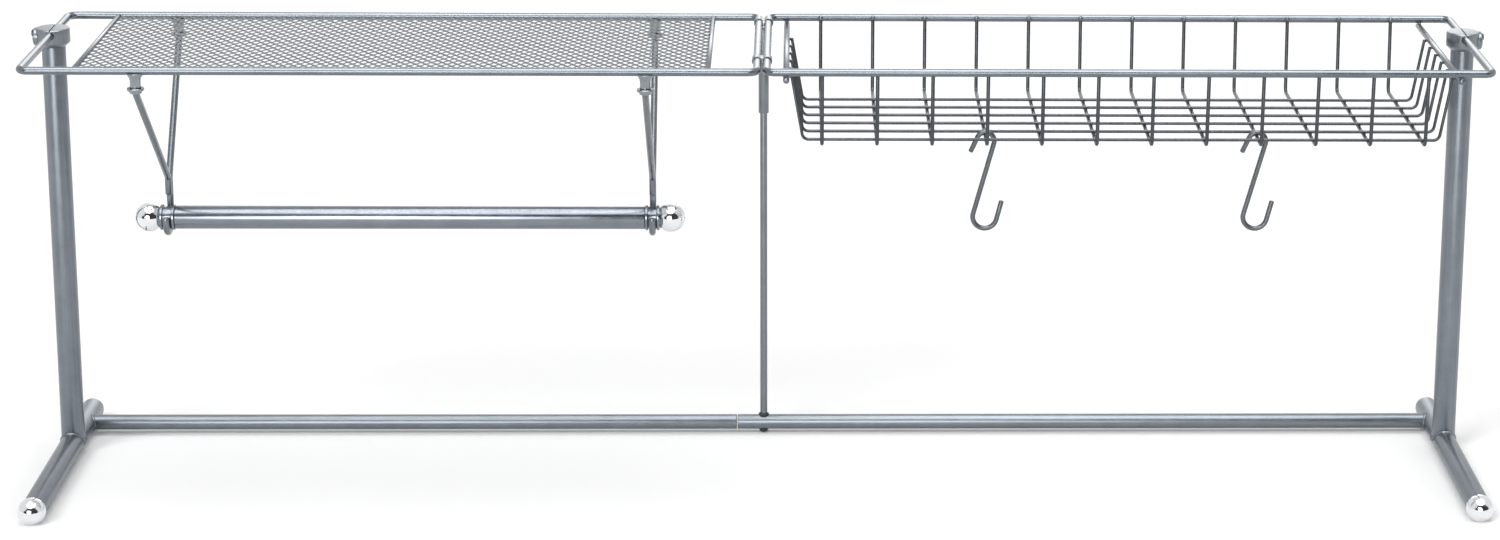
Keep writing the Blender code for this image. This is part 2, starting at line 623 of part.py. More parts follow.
def towel_bar():
    """The bar: a tube with a grooved collar plugged into each end, and a chrome ball screwed to each collar."""
    groove_half = HANGER_RADIUS + COLLAR_PLAY
    face = groove_half + COLLAR_FLANGE_WIDTH
    tube_ends = (HANGER_X[0] + face + GAP, HANGER_X[1] - face - GAP)
    turned("towel_bar", tube(*tube_ends, BAR_RADIUS, BAR_WALL), (0, BAR_Y, BAR_Z), "X")
    plug = BAR_RADIUS - BAR_WALL - GAP
    bore = STUD_RADIUS + GAP
    bore_floor = face - STUD_LENGTH - GAP
    neck = plug  # the ball's flat is as wide as the collar's plug
    ball_flat = math.sqrt(BAR_BALL_RADIUS**2 - neck**2)
    for x, (side, name) in zip(HANGER_X, SIDE_NAMES):
        collar = [
            (-face - COLLAR_PLUG_LENGTH, 0),
            (-face - COLLAR_PLUG_LENGTH, plug),
            (-face, plug),
            (-face, COLLAR_FLANGE_RADIUS),
            (-groove_half, COLLAR_FLANGE_RADIUS),
            (-groove_half, COLLAR_GROOVE_RADIUS),
            (groove_half, COLLAR_GROOVE_RADIUS),
            (groove_half, COLLAR_FLANGE_RADIUS),
            (face, COLLAR_FLANGE_RADIUS),
            (face, bore),
            (bore_floor, bore),
            (bore_floor, 0),
        ]
        turned("bar_collar_" + name, [(side * a, r) for a, r in collar], (x, BAR_Y, BAR_Z), "X")
        centre = face + GAP + ball_flat
        last = math.pi - math.asin(neck / BAR_BALL_RADIUS)
        ball = [(-BAR_BALL_RADIUS, 0), *sphere_arc(BAR_BALL_RADIUS, 0, last, BALL_STEPS)[1:]]
        stud_end = ball_flat + GAP + STUD_LENGTH
        ball += [(ball_flat, STUD_RADIUS), (stud_end, STUD_RADIUS), (stud_end, 0)]
        place = (x + side * centre, BAR_Y, BAR_Z)
        turned("bar_ball_" + name, [(-side * a, r) for a, r in ball], place, "X", CHROME)


def s_hook_line():
    """An S-hook's centre line from its hinge on the cross wire, turned so that it hangs in balance."""
    across = Vector((HOOK_OFFSET, -HOOK_LENGTH))
    steepness = math.asin((HOOK_TOP_BEND + HOOK_LOW_BEND) / across.length)
    leave = math.atan2(HOOK_OFFSET, HOOK_LENGTH) - steepness  # where the shank leaves the top bend
    top_tail = HOOK_TOP_TAIL * Vector((math.sin(HOOK_TOP_FLARE), math.cos(HOOK_TOP_FLARE)))
    low_tail = HOOK_LOW_TAIL * Vector((math.sin(HOOK_LOW_FLARE), math.cos(HOOK_LOW_FLARE)))
    line = arc(Vector((0, 0)), HOOK_TOP_BEND, math.pi - HOOK_TOP_FLARE, leave)
    line += arc(across, HOOK_LOW_BEND, math.pi + leave, math.tau - HOOK_LOW_FLARE)
    line = [line[0] - top_tail, *line, line[-1] + low_tail]

    length = 0
    moment = Vector((0, 0))
    for start, end in zip(line, line[1:]):
        length += (end - start).length
        moment += (start + end) / 2 * (end - start).length
    swing = Matrix.Rotation(-math.pi / 2 - math.atan2(moment.y, moment.x), 2)
    seat = HOOK_TOP_BEND - HOOK_RADIUS - GAP - CROSS_RADIUS  # top bend's centre below the hinge
    return [Vector((point.x, 0, point.y - seat)) for point in (swing @ bend for bend in line)]


def s_hooks(cross_x, front_long_y, floor_z):
    """Two S-hooks that hang on the basket's cross wires and swing about them."""
    line = s_hook_line()
    for index, (_, name) in zip(HOOK_CROSS_WIRES, SIDE_NAMES):
        place = (cross_x[index], front_long_y + HOOK_INSET, floor_z)
        wire("s_hook_" + name, line, HOOK_RADIUS, THIN_WIRE_SIDES, DARK_WIRE, place)


clear_scene()
foot_cutters = [leg(side, name) for side, name in SIDE_NAMES]
for side, name in SIDE_NAMES:
    cap(side, name)
rail(foot_cutters)
support()
clip("frame_clip_front", FRONT_Y + FRONT_CLIP_INSET)
clip("frame_clip_rear", RAIL_Y)
shelf()
cross_places, front_long, basket_floor = basket()
for hanger_place, (_, name) in zip(HANGER_X, SIDE_NAMES):
    hanger(hanger_place, name)
towel_bar()
s_hooks(cross_places, front_long, basket_floor)
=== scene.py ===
import json
import math

import bmesh
import bpy
from mathutils import Matrix, Vector, noise


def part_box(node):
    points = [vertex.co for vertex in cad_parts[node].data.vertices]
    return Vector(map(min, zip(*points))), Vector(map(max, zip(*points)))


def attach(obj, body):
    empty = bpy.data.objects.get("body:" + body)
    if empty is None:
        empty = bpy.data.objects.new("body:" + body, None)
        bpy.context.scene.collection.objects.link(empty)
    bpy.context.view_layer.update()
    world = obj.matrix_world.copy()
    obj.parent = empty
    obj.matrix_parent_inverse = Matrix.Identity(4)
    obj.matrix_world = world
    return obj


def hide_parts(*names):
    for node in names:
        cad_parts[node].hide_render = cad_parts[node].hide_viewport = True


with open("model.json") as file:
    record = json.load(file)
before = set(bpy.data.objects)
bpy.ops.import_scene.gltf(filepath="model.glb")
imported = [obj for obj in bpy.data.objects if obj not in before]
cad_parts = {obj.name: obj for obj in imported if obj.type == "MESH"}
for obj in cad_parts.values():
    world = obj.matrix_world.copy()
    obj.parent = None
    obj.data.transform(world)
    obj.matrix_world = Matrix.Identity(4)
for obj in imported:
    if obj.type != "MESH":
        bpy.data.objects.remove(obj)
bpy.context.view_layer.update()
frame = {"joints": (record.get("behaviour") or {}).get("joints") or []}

# Camera. The photograph was taken from 2.7 m in front of the rack, from a little above it and with a long
# lens. The shift keeps some of the framing of a picture that was cropped from a taller one.
IMAGE_WIDTH = 1500
IMAGE_HEIGHT = 540
FOCAL_PIXELS = 3536.2
CENTRE_PIXELS = (925.8, 120.0)
camera_data = bpy.data.cameras.new("camera")
camera_data.sensor_fit = "HORIZONTAL"
camera_data.sensor_width = 36
camera_data.lens = FOCAL_PIXELS / IMAGE_WIDTH * camera_data.sensor_width
camera_data.shift_x = (IMAGE_WIDTH / 2 - CENTRE_PIXELS[0]) / IMAGE_WIDTH
camera_data.shift_y = (CENTRE_PIXELS[1] - IMAGE_HEIGHT / 2) / IMAGE_WIDTH
camera = bpy.data.objects.new("camera", camera_data)
camera.location = (0.0259, -2.7401, 0.9848)
camera.rotation_euler = [math.radians(angle) for angle in (75.864, -0.622, -2.026)]
bpy.context.scene.collection.objects.link(camera)
bpy.context.scene.camera = camera
bpy.context.scene.view_settings.view_transform = "Standard"


# Studio. A white sweep under soft lamps. What the metal mirrors is a white room with a bright light
# overhead, a bright patch on the far wall, a dark part round the camera, and a soft panel in that part,
# left of the camera.
def linear(code):
    """An sRGB hex colour as Blender's linear one, with an alpha of 1."""
    channels = [int(code[i:i + 2], 16) / 255 for i in (1, 3, 5)]
    return [c / 12.92 if c <= 0.04045 else ((c + 0.055) / 1.055) ** 2.4 for c in channels] + [1.0]


def add(tree, kind, inputs, **settings):
    """Adds a node with its settings. Each input is a value, or the output that it is linked from."""
    made = tree.nodes.new(kind)
    for name, value in settings.items():
        setattr(made, name, value)
    for name, value in inputs.items():
        if isinstance(value, bpy.types.NodeSocket):
            tree.links.new(value, made.inputs[name])
        else:
            made.inputs[name].default_value = value
    return made


world = bpy.data.worlds.new("studio")
world.use_nodes = True
tree = world.node_tree
tree.nodes.clear()
direction = add(tree, "ShaderNodeTexCoord", {}).outputs["Generated"]
from_back = add(tree, "ShaderNodeVectorMath", {0: direction, 1: (0.03, 0.97, 0.25)}, operation="DISTANCE")
walls = add(tree, "ShaderNodeMapRange", {
    "Value": from_back.outputs["Value"], "From Min": 0.08, "From Max": 0.3, "To Min": 3.4, "To Max": 0.9})
from_above = add(tree, "ShaderNodeVectorMath", {0: direction, 1: (0.0, -0.25, 0.97)}, operation="DISTANCE")
overhead = add(tree, "ShaderNodeMapRange", {
    "Value": from_above.outputs["Value"], "From Min": 0.42, "From Max": 0.54, "To Min": 4.8, "To Max": 0.0})
plain = add(tree, "ShaderNodeMath", {
    0: walls.outputs["Result"], 1: overhead.outputs["Result"]}, operation="ADD")
# The dark part is about 60 degrees high and 120 wide, with an uneven edge. The panel is 30 degrees wide.
uneven = add(tree, "ShaderNodeTexNoise", {"Vector": direction, "Scale": 2.2, "Detail": 1.0})
widened = add(tree, "ShaderNodeVectorMath", {0: direction, 1: (0.6, 1.0, 1.4)}, operation="MULTIPLY")
from_dark = add(tree, "ShaderNodeVectorMath", {
    0: widened.outputs["Vector"], 1: (0.12, -0.94, 0.38)}, operation="DISTANCE")
wavy = add(tree, "ShaderNodeMath", {
    0: uneven.outputs["Fac"], 1: 0.5, 2: from_dark.outputs["Value"]}, operation="MULTIPLY_ADD")
dark = add(tree, "ShaderNodeMapRange", {
    "Value": wavy.outputs[0], "From Min": 0.9, "From Max": 1.0, "To Min": 0.06, "To Max": 1.0})
from_panel = add(tree, "ShaderNodeVectorMath", {0: direction, 1: (-0.17, -0.97, 0.18)}, operation="DISTANCE")
panel = add(tree, "ShaderNodeMapRange", {
    "Value": from_panel.outputs["Value"], "From Min": 0.24, "From Max": 0.3, "To Min": 6.8, "To Max": 0.0})
room = add(tree, "ShaderNodeMath", {
    0: plain.outputs[0], 1: dark.outputs["Result"], 2: panel.outputs["Result"]}, operation="MULTIPLY_ADD")
rays = add(tree, "ShaderNodeLightPath", {})
seen = add(tree, "ShaderNodeMath", {
    0: rays.outputs["Is Camera Ray"], 1: rays.outputs["Is Transmission Ray"]}, operation="MAXIMUM")
reflected = add(tree, "ShaderNodeMix", {
    "Factor": rays.outputs["Is Glossy Ray"], "A": 0.5, "B": room.outputs[0]})
level = add(tree, "ShaderNodeMix", {"Factor": seen.outputs[0], "A": reflected.outputs["Result"], "B": 1.0})
backdrop = add(tree, "ShaderNodeBackground", {
    "Color": linear("#ffffff"), "Strength": level.outputs["Result"]})
add(tree, "ShaderNodeOutputWorld", {"Surface": backdrop.outputs[0]})
bpy.context.scene.world = world

LAMPS = (
    # name, power, width in degrees, direction that it shines in
    ("front_lamp", 1.25, 24, (0.55, 0.72, -0.85)),
    ("overhead_lamp", 1.0, 40, (-0.05, -0.12, -1.0)),
    ("side_lamp", 0.35, 30, (-1.0, 0.45, -0.5)),
)
for name, power, width, shines in LAMPS:
    lamp_data = bpy.data.lights.new(name, "SUN")
    lamp_data.energy = power
    lamp_data.angle = math.radians(width)
    lamp = bpy.data.objects.new(name, lamp_data)
    lamp.rotation_euler = Vector(shines).to_track_quat("-Z", "Y").to_euler()
    lamp.visible_glossy = False
    bpy.context.scene.collection.objects.link(lamp)

# Matt white paint. A faint glow brings it up to pure white, for the camera and in what the metal mirrors.
FLOOR_REACH = 9
floor_paint = bpy.data.materials.new("white_sweep_paint")
floor_paint.use_nodes = True
tree = floor_paint.node_tree
rays = add(tree, "ShaderNodeLightPath", {})
seen = add(tree, "ShaderNodeMath", {
    0: rays.outputs["Is Camera Ray"], 1: rays.outputs["Is Glossy Ray"]}, operation="MAXIMUM")
lift = add(tree, "ShaderNodeMath", {0: seen.outputs[0], 1: 0.07}, operation="MULTIPLY")
shader = tree.nodes["Principled BSDF"]
shader.inputs["Base Color"].default_value = linear("#f6f6f6")
shader.inputs["Roughness"].default_value = 0.9
shader.inputs["Specular IOR Level"].default_value = 0.0
shader.inputs["Emission Color"].default_value = linear("#ffffff")
tree.links.new(lift.outputs[0], shader.inputs["Emission Strength"])
floor_mesh = bpy.data.meshes.new("floor")
corners = [(x * FLOOR_REACH, y * FLOOR_REACH, 0) for x, y in ((-1, -1), (1, -1), (1, 1), (-1, 1))]
floor_mesh.from_pydata(corners, [], [(0, 1, 2, 3)])
floor_mesh.materials.append(floor_paint)
floor = bpy.data.objects.new("floor", floor_mesh)
bpy.context.scene.collection.objects.link(floor)


# Foot tubes. 19 mm steel tubes that lie along the worktop, domed at the rear and cut square at the front,
# where a chrome ball plugs them. Sprayed with a silver-grey paint, as all the rack's tubes are.
def metal_coat(name, shade, glint, streak_mm, roughness):
    """A thin coat on drawn steel. Fine flakes glint in it, and the drawn metal's streaks show through."""
    material = bpy.data.materials.new(name)
    material.use_nodes = True
    tree = material.node_tree
    place = add(tree, "ShaderNodeTexCoord", {})
    # Flakes are about 0.1 mm, drawn at 0.9 mm so that they show. The coat is uneven in clouds of 14 mm, and
    # the streaks are 60 times as long as they are wide.
    flakes = add(tree, "ShaderNodeTexNoise", {
        "Vector": place.outputs["Object"], "Scale": 1 / 0.0009, "Detail": 2.0, "Roughness": 0.6})
    clouds = add(tree, "ShaderNodeTexNoise", {
        "Vector": place.outputs["Object"], "Scale": 1 / 0.014, "Detail": 3.0, "Roughness": 0.55})
    stretched = add(tree, "ShaderNodeMapping", {
        "Vector": place.outputs["UV"], "Scale": (1000 / streak_mm, 1000 / (60 * streak_mm), 1.0)})
    streaks = add(tree, "ShaderNodeTexNoise", {
        "Vector": stretched.outputs["Vector"], "Scale": 1.0, "Detail": 2.0, "Roughness": 0.5})
    blended = add(tree, "ShaderNodeMath", {
        0: streaks.outputs["Fac"], 1: clouds.outputs["Fac"]}, operation="ADD")
    sparkled = add(tree, "ShaderNodeMath", {
        0: flakes.outputs["Fac"], 1: 0.5, 2: blended.outputs[0]}, operation="MULTIPLY_ADD")
    spread = add(tree, "ShaderNodeMapRange", {
        "Value": sparkled.outputs[0], "From Min": 0.8, "From Max": 1.7, "To Min": 0.0, "To Max": 1.0})
    colour = add(tree, "ShaderNodeMix", {"Factor": spread.outputs["Result"]}, data_type="RGBA")
    colour.inputs["A"].default_value = linear(shade)
    colour.inputs["B"].default_value = linear(glint)
    satin = add(tree, "ShaderNodeMapRange", {
        "Value": clouds.outputs["Fac"], "From Min": 0.3, "From Max": 0.7,
        "To Min": roughness - 0.03, "To Max": roughness + 0.03})
    # The coat's skin is slightly uneven, 0.01 mm deep.
    skin = add(tree, "ShaderNodeBump", {
        "Height": flakes.outputs["Fac"], "Strength": 0.3, "Distance": 0.00001})
    shader = tree.nodes["Principled BSDF"]
    tree.links.new(colour.outputs["Result"], shader.inputs["Base Color"])
    tree.links.new(satin.outputs["Result"], shader.inputs["Roughness"])
    tree.links.new(skin.outputs["Normal"], shader.inputs["Normal"])
    shader.inputs["Metallic"].default_value = 0.9
    shader.inputs["Coat Weight"].default_value = 0.15
    shader.inputs["Coat Roughness"].default_value = 0.2
    return material


# Metallic paint gives the tubes a soft, slightly blue sheen with faint streaks along them.
tube_paint = metal_coat("silver_paint_on_tube", "#6f757c", "#848a91", 2.2, 0.36)


def mm(*place):
    """A place in mm as a vector in metres."""
    return Vector(place) / 1000


def eased(corners, radius, steps, closed=False):
    """These corners with each one rounded, to a smaller radius where its sides are short."""
    line = []
    for i, corner in enumerate(corners):
        if not closed and i in (0, len(corners) - 1):
            line.append(corner)
            continue
        back = corners[i - 1] - corner
        ahead = corners[(i + 1) % len(corners)] - corner
        reach = 0.45 * min(back.length, ahead.length)
        back.normalize()
        ahead.normalize()
        half = back.angle(ahead) / 2
        bend = min(radius, reach * math.tan(half))
        middle = corner + (back + ahead).normalized() * (bend / math.sin(half))
        start = corner + back * (bend / math.tan(half)) - middle
        end = corner + ahead * (bend / math.tan(half)) - middle
        line += [middle + bend * start.slerp(end, step / steps) for step in range(steps + 1)]
    return line


def skinned(rings, around, along, closed):
    """A smooth mesh through these rings of points, with UVs in metres round it and along it.

    A closed one runs on from its last ring to its first, and another one has a cap on both ends.
    """
    sides = len(rings[0])
    points = [point for ring in rings for point in ring]
    faces = []
    places = []
    count = len(rings)
    for i in range(count if closed else count - 1):
        j = (i + 1) % count
        for side in range(sides):
            after = (side + 1) % sides
            faces.append((i * sides + side, i * sides + after, j * sides + after, j * sides + side))
            left = around * side / sides
            right = around * (side + 1) / sides
            places += [(left, along[i]), (right, along[i]), (right, along[i + 1]), (left, along[i + 1])]
    if not closed:
        faces += [tuple(reversed(range(sides))), tuple(range((count - 1) * sides, count * sides))]
        places += [(0, 0)] * (2 * sides)
    mesh = bpy.data.meshes.new("skin")
    mesh.from_pydata(points, [], faces)
    layer = mesh.uv_layers.new(name="metres")
    layer.data.foreach_set("uv", [number for place in places for number in place])
    mesh.shade_smooth()
    mesh.set_sharp_from_angle(angle=math.radians(40))
    return mesh


def circle(centre, radius, normal, binormal, sides):
    """Points round a circle that lies in the plane of these two directions."""
    turns = [math.tau * side / sides for side in range(sides)]
    return [centre + radius * (math.cos(turn) * normal + math.sin(turn) * binormal) for turn in turns]


def face_outward(mesh):
    """Turns the faces of a closed mesh outward."""
    shell = bmesh.new()
    shell.from_mesh(mesh)
    bmesh.ops.recalc_face_normals(shell, faces=shell.faces)
    shell.to_mesh(mesh)
    shell.free()


def turned(profile, place, axis, ease=0.3, sides=48, ring=False):
    """A piece turned on a lathe: (along, radius) pairs in mm about an axis, with its edges eased.

    A ring's profile closes on itself. At a pole the radius is POLE_RADIUS.
    """
    corners = [Vector((out, max(size, POLE_RADIUS), 0)) for out, size in profile]
    corners = eased(corners, ease, 3, closed=ring)
    normal = axis.orthogonal().normalized()
    binormal = axis.cross(normal)
    rings = []
    along = [0.0]
    for i, (out, size, _) in enumerate(corners):
        if i:
            along.append(along[-1] + (corners[i] - corners[i - 1]).length / 1000)
        rings.append(circle(place + axis * out / 1000, size / 1000, normal, binormal, sides))
    along.append(along[-1] + (corners[0] - corners[-1]).length / 1000)
    mesh = skinned(rings, math.tau * max(corner.y for corner in corners) / 1000, along, ring)
    face_outward(mesh)
    return mesh


def piece(name, mesh, material, nodes=(), body="rack"):
    """Puts a mesh in the scene as a piece that moves with a body and stands for these nodes."""
    made = bpy.data.objects.new(name, mesh)
    mesh.name = name
    mesh.materials.append(material)
    bpy.context.scene.collection.objects.link(made)
    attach(made, body)
    if nodes:
        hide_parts(*nodes)


# Sizes are in mm unless a comment says otherwise, and heights are above the worktop.
Y_AXIS = Vector((0, 1, 0))
SIDES = (("left", -1), ("right", 1))
POLE_RADIUS = 0.02
LEG_X = 567.5
TUBE_RADIUS = 9.3
TUBE_BORE = TUBE_RADIUS - 1.2
FOOT_HEIGHT = 9.32
FOOT_FRONT_Y = -116.6
FOOT_REAR_Y = 133.25
MOUTH_DEPTH = 12
DOME_STEPS = 12
for side, sign in SIDES:
    mouth_end_y = FOOT_FRONT_Y + MOUTH_DEPTH
    dome_y = FOOT_REAR_Y - TUBE_RADIUS
    profile = [(mouth_end_y, 0), (mouth_end_y, TUBE_BORE), (FOOT_FRONT_Y, TUBE_BORE)]
    profile.append((FOOT_FRONT_Y, TUBE_RADIUS))
    for step in range(DOME_STEPS + 1):
        angle = math.pi / 2 * step / DOME_STEPS
        profile.append((dome_y + TUBE_RADIUS * math.sin(angle), TUBE_RADIUS * math.cos(angle)))
    mesh = turned(profile, mm(sign * LEG_X, 0, FOOT_HEIGHT), Y_AXIS, ease=0.25)
    piece(f"{side}_foot_tube", mesh, tube_paint, [f"foot_tube_{side}"])


# Foot balls. Steel balls with a mirror-bright chrome plate, pressed into the front ends of the feet. A small
# flat is ground where each one stands.
chrome_plate = bpy.data.materials.new("chrome_plate_on_steel")
chrome_plate.use_nodes = True
tree = chrome_plate.node_tree
place = add(tree, "ShaderNodeTexCoord", {})
# Handling leaves a faint haze in patches of about 6 mm on the plate.
haze = add(tree, "ShaderNodeTexNoise", {"Vector": place.outputs["Object"], "Scale": 1 / 0.006, "Detail": 3.0})
gloss = add(tree, "ShaderNodeMapRange", {
    "Value": haze.outputs["Fac"], "From Min": 0.35, "From Max": 0.75, "To Min": 0.03, "To Max": 0.09})
shader = tree.nodes["Principled BSDF"]
shader.inputs["Base Color"].default_value = linear("#e6e8ea")
shader.inputs["Metallic"].default_value = 1.0
tree.links.new(gloss.outputs["Result"], shader.inputs["Roughness"])

FOOT_BALL_Y = -122.25
FOOT_BALL_RADIUS = 11
PLUG_RADIUS = TUBE_RADIUS - 1.6
PLUG_LENGTH = 8


def ball_profile(radius, neck, steps=24):
    """A ball's outline in mm, from its pole round to where a neck of this radius leaves it."""
    last = math.pi - math.asin(neck / radius)
    angles = [last * step / steps for step in range(steps + 1)]
    return [(-radius * math.cos(angle), radius * math.sin(angle)) for angle in angles]


for side, sign in SIDES:
    profile = ball_profile(FOOT_BALL_RADIUS, PLUG_RADIUS)
    profile.append((profile[-1][0] + PLUG_LENGTH, PLUG_RADIUS))
    mesh = turned(profile, mm(sign * LEG_X, FOOT_BALL_Y, FOOT_HEIGHT), Y_AXIS, ease=0.01)
    # The flat lies on the worktop.
    for vertex in mesh.vertices:
        vertex.co.z = max(vertex.co.z, 0)
    piece(f"{side}_foot_ball", mesh, chrome_plate, [f"foot_ball_{side}"])


# Uprights. The same 19 mm tube, coped to sit on the foot and welded round the joint. The bead is brushed
# smooth before painting, so only shallow ripples are left.
def rod(line, radii, sides=24, closed=False):
    """A round rod or wire along a line in metres, with one radius or one for each point."""
    if isinstance(radii, float):
        radii = [radii] * len(line)
    count = len(line)
    tangents = []
    for i in range(count):
        before = line[i - 1] if closed or i else line[i]
        after = line[(i + 1) % count] if closed or i < count - 1 else line[i]
        tangents.append((after - before).normalized())
    normal = tangents[0].orthogonal().normalized()
    rings = []
    along = [0.0]
    for i, point in enumerate(line):
        if i:
            normal.rotate(tangents[i - 1].rotation_difference(tangents[i]))
            along.append(along[-1] + (point - line[i - 1]).length)
        rings.append(circle(point, radii[i], normal, tangents[i].cross(normal), sides))
    along.append(along[-1] + (line[0] - line[-1]).length)
    return skinned(rings, math.tau * max(radii), along, closed)


def bead(line, radius, ripple=1.5):
    """A weld bead of this radius in mm along a closed line, with a ripple every so many mm."""
    radii = []
    travelled = 0.0
    for i, point in enumerate(line):
        travelled += (point - line[i - 1]).length * 1000
        wave = 0.1 * math.sin(math.tau * travelled / ripple) + 0.25 * noise.noise(point * 400)
        radii.append(radius / 1000 * (1 + wave))
    return rod(line, radii, 10, closed=True)


Z_AXIS = Vector((0, 0, 1))
WIRE_HEIGHT = 354
UPRIGHT_Y = 42.75
UPRIGHT_RADIUS = TUBE_RADIUS + 0.2
UPRIGHT_TOP = WIRE_HEIGHT - 5.6
WELD_REACH = TUBE_RADIUS + 0.3
WELD_STEPS = 120
for side, sign in SIDES:
    x = sign * LEG_X
    profile = [(FOOT_HEIGHT, 0), (FOOT_HEIGHT, UPRIGHT_RADIUS)]
    profile += [(UPRIGHT_TOP, UPRIGHT_RADIUS), (UPRIGHT_TOP, 0)]
    mesh = turned(profile, mm(x, UPRIGHT_Y, 0), Z_AXIS)
    piece(f"{side}_upright", mesh, tube_paint, [f"upright_{side}"])
    seam = []
    for step in range(WELD_STEPS):
        angle = math.tau * step / WELD_STEPS
        out = WELD_REACH * math.cos(angle)
        rise = math.sqrt(max(TUBE_RADIUS**2 - out**2, 0))
        seam.append(mm(x + out, UPRIGHT_Y + WELD_REACH * math.sin(angle), FOOT_HEIGHT + rise))
    piece(f"{side}_upright_weld", bead(seam, 1.3), tube_paint)


# Low rail. 12.7 mm steel tube in two halves that meet left of the middle over a sleeve inside, so the rack
# comes apart for packing. Each half is welded to its foot.
X_AXIS = Vector((1, 0, 0))
RAIL_Y = 90.75
RAIL_RADIUS = 6.3
RAIL_SEAM_X = -22
RAIL_GAP = 0.6
RAIL_WELD_STEPS = 90
# The same paint, a little darker and with finer streaks on the narrower tube.
rail_paint = metal_coat("silver_paint_on_rail", "#6c7279", "#81878e", 1.6, 0.36)
for name, first, last in (("left", -LEG_X, RAIL_SEAM_X - RAIL_GAP), ("right", RAIL_SEAM_X, LEG_X)):
    profile = [(first, 0), (first, RAIL_RADIUS), (last, RAIL_RADIUS), (last, 0)]
    mesh = turned(profile, mm(0, RAIL_Y, FOOT_HEIGHT), X_AXIS, ease=0.6)
    nodes = [f"rail_{name}"] + (["rail_joiner"] if name == "left" else [])
    piece(f"{name}_rail", mesh, rail_paint, nodes)
for side, sign in SIDES:
    seam = []
    for step in range(RAIL_WELD_STEPS):
        angle = math.tau * step / RAIL_WELD_STEPS
        rise = RAIL_RADIUS * math.sin(angle)
        out = math.sqrt(TUBE_RADIUS**2 - rise**2)
        seam.append(mm(sign * (LEG_X - out), RAIL_Y + RAIL_RADIUS * math.cos(angle), FOOT_HEIGHT + rise))
    piece(f"{side}_rail_weld", bead(seam, 1.1), rail_paint)


# Support rod. A 6 mm steel rod that stands in the rail's middle and runs up into a sleeve under the frames.
# A moulded rubber ring sits on the rail and a rubber cap closes the rod's foot below it.
ROD_RADIUS = 3
SLEEVE_RADIUS = 4.3
SLEEVE_BORE = 3.2
SLEEVE_DEPTH = 9
SLEEVE_LIFT = 4.5
RING_BORE = 3.1
RING_RADIUS = 4.3
RING_CHAMFER = 0.4
# A plainer grey paint with fine streaks, less blue than on the tubes.
rod_paint = metal_coat("grey_paint_on_rod", "#70767b", "#848a8f", 1.2, 0.34)
black_rubber = bpy.data.materials.new("black_moulded_rubber")
black_rubber.use_nodes = True
tree = black_rubber.node_tree
place = add(tree, "ShaderNodeTexCoord", {})
# The mould's fine grit, about 0.25 mm, makes the rubber matt.
grit = add(tree, "ShaderNodeTexNoise", {
    "Vector": place.outputs["Object"], "Scale": 1 / 0.00025, "Detail": 2.0})
dusty = add(tree, "ShaderNodeMix", {"Factor": grit.outputs["Fac"]}, data_type="RGBA")
dusty.inputs["A"].default_value = linear("#1c1c1d")
dusty.inputs["B"].default_value = linear("#303132")
rubbed = add(tree, "ShaderNodeBump", {
    "Height": grit.outputs["Fac"], "Strength": 0.4, "Distance": 0.00003})
shader = tree.nodes["Principled BSDF"]
shader.inputs["Roughness"].default_value = 0.62
shader.inputs["IOR"].default_value = 1.52
tree.links.new(dusty.outputs["Result"], shader.inputs["Base Color"])
tree.links.new(rubbed.outputs["Normal"], shader.inputs["Normal"])


def heights(node):
    """The bottom and the top of a node's box, in mm."""
    return [corner.z * 1000 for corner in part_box(node)]


centre = mm(0, RAIL_Y, 0)
low, high = heights("support_rod")
profile = [(low, 0), (low, ROD_RADIUS), (high, ROD_RADIUS), (high, 0)]
piece("middle_rod", turned(profile, centre, Z_AXIS), rod_paint, ["support_rod"])
low, high = heights("support_socket")
low += SLEEVE_LIFT
profile = [(high, 0), (high, SLEEVE_RADIUS), (low, SLEEVE_RADIUS), (low, SLEEVE_BORE)]
profile += [(low + SLEEVE_DEPTH, SLEEVE_BORE), (low + SLEEVE_DEPTH, 0)]
mesh = turned(profile, centre, Z_AXIS, ease=0.35)
piece("rod_sleeve", mesh, rod_paint, ["support_socket"])
low, high = heights("rod_grommet")
profile = [(low, RING_BORE), (low, RING_RADIUS), (high - RING_CHAMFER, RING_RADIUS)]
profile += [(high, RING_RADIUS - RING_CHAMFER), (high, RING_BORE)]
mesh = turned(profile, centre, Z_AXIS, ring=True)
piece("rail_ring", mesh, black_rubber, ["rod_grommet"])
low, high = heights("rod_end_cap")
profile = [(low, 0), (low, 1.6), (low + 0.7, 3.1), (low + 1.8, 3.8), (high, 4.1), (high, 0)]
mesh = turned(profile, centre, Z_AXIS, ease=0.5)
piece("rod_foot_cap", mesh, black_rubber, ["rod_end_cap"])


# Top frames. Each is one 6.35 mm steel wire bent into a long rectangle and butt-welded. The paint on them is
# a little darker and glossier than on the tubes, so they mirror the room more sharply.
frame_paint = metal_coat("silver_paint_on_frame_wire", "#666c72", "#7b8187", 1.4, 0.28)
FRONT_Y = -88.25
BACK_Y = 108.15
MIDDLE_X = 3.8
FRAME_WIRE = 3.15
FRAME_BEND = 7
for name, left, right in (("shelf", -LEG_X, -MIDDLE_X), ("basket", MIDDLE_X, LEG_X)):
    corners = ((left, FRONT_Y), (right, FRONT_Y), (right, BACK_Y), (left, BACK_Y))
    line = eased([mm(x, y, WIRE_HEIGHT) for x, y in corners], FRAME_BEND / 1000, 14, closed=True)
    mesh = rod(line, FRAME_WIRE / 1000, 28, closed=True)
    piece(f"{name}_frame_wire", mesh, frame_paint, [f"{name}_frame"])


